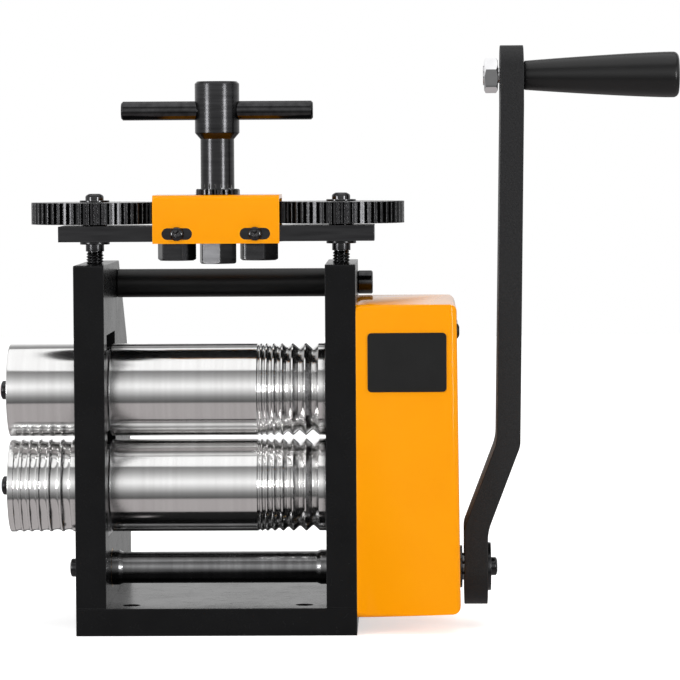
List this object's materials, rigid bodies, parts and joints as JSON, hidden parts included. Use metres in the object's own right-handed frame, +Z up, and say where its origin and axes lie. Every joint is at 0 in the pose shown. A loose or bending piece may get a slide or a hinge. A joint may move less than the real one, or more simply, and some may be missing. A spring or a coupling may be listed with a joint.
{
  "type": "jewellers rolling mill",
  "caption": "Hand cranked bench rolling mill with flat and grooved rolls, outboard wire rolls, geared crank and a T-handle that sets the roll gap.",
  "frame": {"origin": "centre of the four bench bolt holes, on the underside of the base", "axes": "+Z up, +X from the outboard rolls towards the crank, +Y from the front face towards the back"},
  "size_m": [0.3512, 0.1704, 0.2999],
  "materials": {
    "black_paint": "satin black paint",
    "orange_paint": "smooth orange powder coat",
    "textured_black": "fine textured black powder coat",
    "roll_steel": "ground and polished hardened steel",
    "bright_steel": "turned bright steel",
    "block_steel": "milled steel",
    "gear_steel": "cut steel, lightly oiled",
    "spring_steel": "drawn spring steel",
    "blackened_steel": "blackened steel",
    "black_screws": "black oxide, shiny",
    "bronze": "turned bronze",
    "chrome_nut": "bright plated",
    "black_sheet": "bare satin black sheet",
    "grip_plastic": "glossy black moulded plastic"
  },
  "bodies": {
    "frame": {"base_plate": "black_paint", "left_side_plate": "black_paint", "right_side_plate": "black_paint", "side_plate_screws": "black_screws", "tie_bar": "blackened_steel", "tie_bar_screws": "black_screws", "lower_block_left": "block_steel", "lower_block_right": "block_steel", "lower_roll_bushes": "bronze", "crank_shaft_bushes": "bronze", "return_springs": "spring_steel", "gear_cover": "orange_paint", "gear_cover_screws": "black_screws", "cover_bush": "bright_steel", "cover_plate": "black_sheet"},
    "crank": {"crank_shaft": "blackened_steel", "crank_pinion": "gear_steel", "pinion_pin": "spring_steel", "crank_shaft_end_screw": "black_screws", "crank_arm": "textured_black", "crank_washer": "bright_steel", "crank_screw": "black_screws", "handle_bolt": "bright_steel", "handle_lock_nut": "chrome_nut"},
    "grip": {"handle_grip": "grip_plastic"},
    "lower_roll": {"lower_roll": "roll_steel", "lower_roll_keys": "spring_steel", "lower_coupling_gear": "gear_steel", "drive_gear": "gear_steel", "lower_gear_screw": "black_screws", "half_round_roll": "roll_steel", "half_round_roll_screw": "black_screws"},
    "upper_carriage": {"upper_block_left": "block_steel", "upper_block_right": "block_steel", "upper_roll_bushes": "bronze"},
    "upper_roll": {"upper_roll": "roll_steel", "upper_roll_keys": "spring_steel", "upper_coupling_gear": "gear_steel", "upper_gear_screw": "black_screws", "plain_roll": "roll_steel", "plain_roll_screw": "black_screws"},
    "bridge": {"bridge_bar": "blackened_steel", "adjuster_hood": "orange_paint", "hood_screws": "black_screws", "left_idler_bolt": "blackened_steel", "right_idler_bolt": "blackened_steel"},
    "t_handle": {"t_handle_spindle": "blackened_steel", "t_bar": "blackened_steel", "t_bar_set_screw": "black_screws", "spindle_nut": "blackened_steel"},
    "left_idler": {"left_idler_gear": "gear_steel"},
    "right_idler": {"right_idler_gear": "gear_steel"},
    "left_adjuster": {"left_adjusting_screw": "blackened_steel", "left_adjuster_gear": "blackened_steel", "left_adjuster_top_screw": "black_screws"},
    "right_adjuster": {"right_adjusting_screw": "blackened_steel", "right_adjuster_gear": "blackened_steel", "right_adjuster_top_screw": "black_screws"}
  },
  "joints": [
    {"name": "crank_turn", "type": "hinge", "parent": "frame", "child": "crank", "pos_m": [0, -0.043, 0.0305], "axis": [1, 0, 0], "continuous": true},
    {"name": "grip_spin", "type": "hinge", "parent": "crank", "child": "grip", "pos_m": [0.199, -0.043, 0.2844], "axis": [1, 0, 0], "continuous": true},
    {"name": "lower_roll_turn", "type": "hinge", "parent": "frame", "child": "lower_roll", "pos_m": [0, -0.043, 0.0735], "axis": [1, 0, 0], "continuous": true},
    {"name": "carriage_lift", "type": "slide", "parent": "frame", "child": "upper_carriage", "axis": [0, 0, 1], "range_m": [-0.0015, 0.0054], "deforming": ["return_springs"]},
    {"name": "upper_roll_turn", "type": "hinge", "parent": "upper_carriage", "child": "upper_roll", "pos_m": [0, -0.043, 0.1231], "axis": [1, 0, 0], "continuous": true},
    {"name": "bridge_lift", "type": "slide", "parent": "frame", "child": "bridge", "axis": [0, 0, 1], "range_m": [-0.00151, 0.00541]},
    {"name": "t_handle_turn", "type": "hinge", "parent": "bridge", "child": "t_handle", "pos_m": [0, -0.043, 0.2], "axis": [0, 0, 1], "range_deg": [-1080.1, 3888.1]},
    {"name": "left_idler_turn", "type": "hinge", "parent": "bridge", "child": "left_idler", "pos_m": [-0.02125, -0.043, 0.213], "axis": [0, 0, 1], "range_deg": [-3888.1, 1080.1]},
    {"name": "right_idler_turn", "type": "hinge", "parent": "bridge", "child": "right_idler", "pos_m": [0.02125, -0.043, 0.213], "axis": [0, 0, 1], "range_deg": [-3888.1, 1080.1]},
    {"name": "left_screw_turn", "type": "hinge", "parent": "bridge", "child": "left_adjuster", "pos_m": [-0.06375, -0.043, 0.2], "axis": [0, 0, 1], "range_deg": [-360.1, 1296.1]},
    {"name": "right_screw_turn", "type": "hinge", "parent": "bridge", "child": "right_adjuster", "pos_m": [0.06375, -0.043, 0.2], "axis": [0, 0, 1], "range_deg": [-360.1, 1296.1]}
  ],
  "couplings": [
    {"joint": "lower_roll_turn", "follows": "crank_turn", "ratio": -0.3871},
    {"joint": "upper_roll_turn", "follows": "crank_turn", "ratio": 0.3871},
    {"joint": "bridge_lift", "follows": "carriage_lift", "ratio": 1},
    {"joint": "t_handle_turn", "follows": "carriage_lift", "rad_per_m": 12566},
    {"joint": "left_idler_turn", "follows": "carriage_lift", "rad_per_m": -12566},
    {"joint": "right_idler_turn", "follows": "carriage_lift", "rad_per_m": -12566},
    {"joint": "left_screw_turn", "follows": "carriage_lift", "rad_per_m": 4188.8},
    {"joint": "right_screw_turn", "follows": "carriage_lift", "rad_per_m": 4188.8}
  ]
}
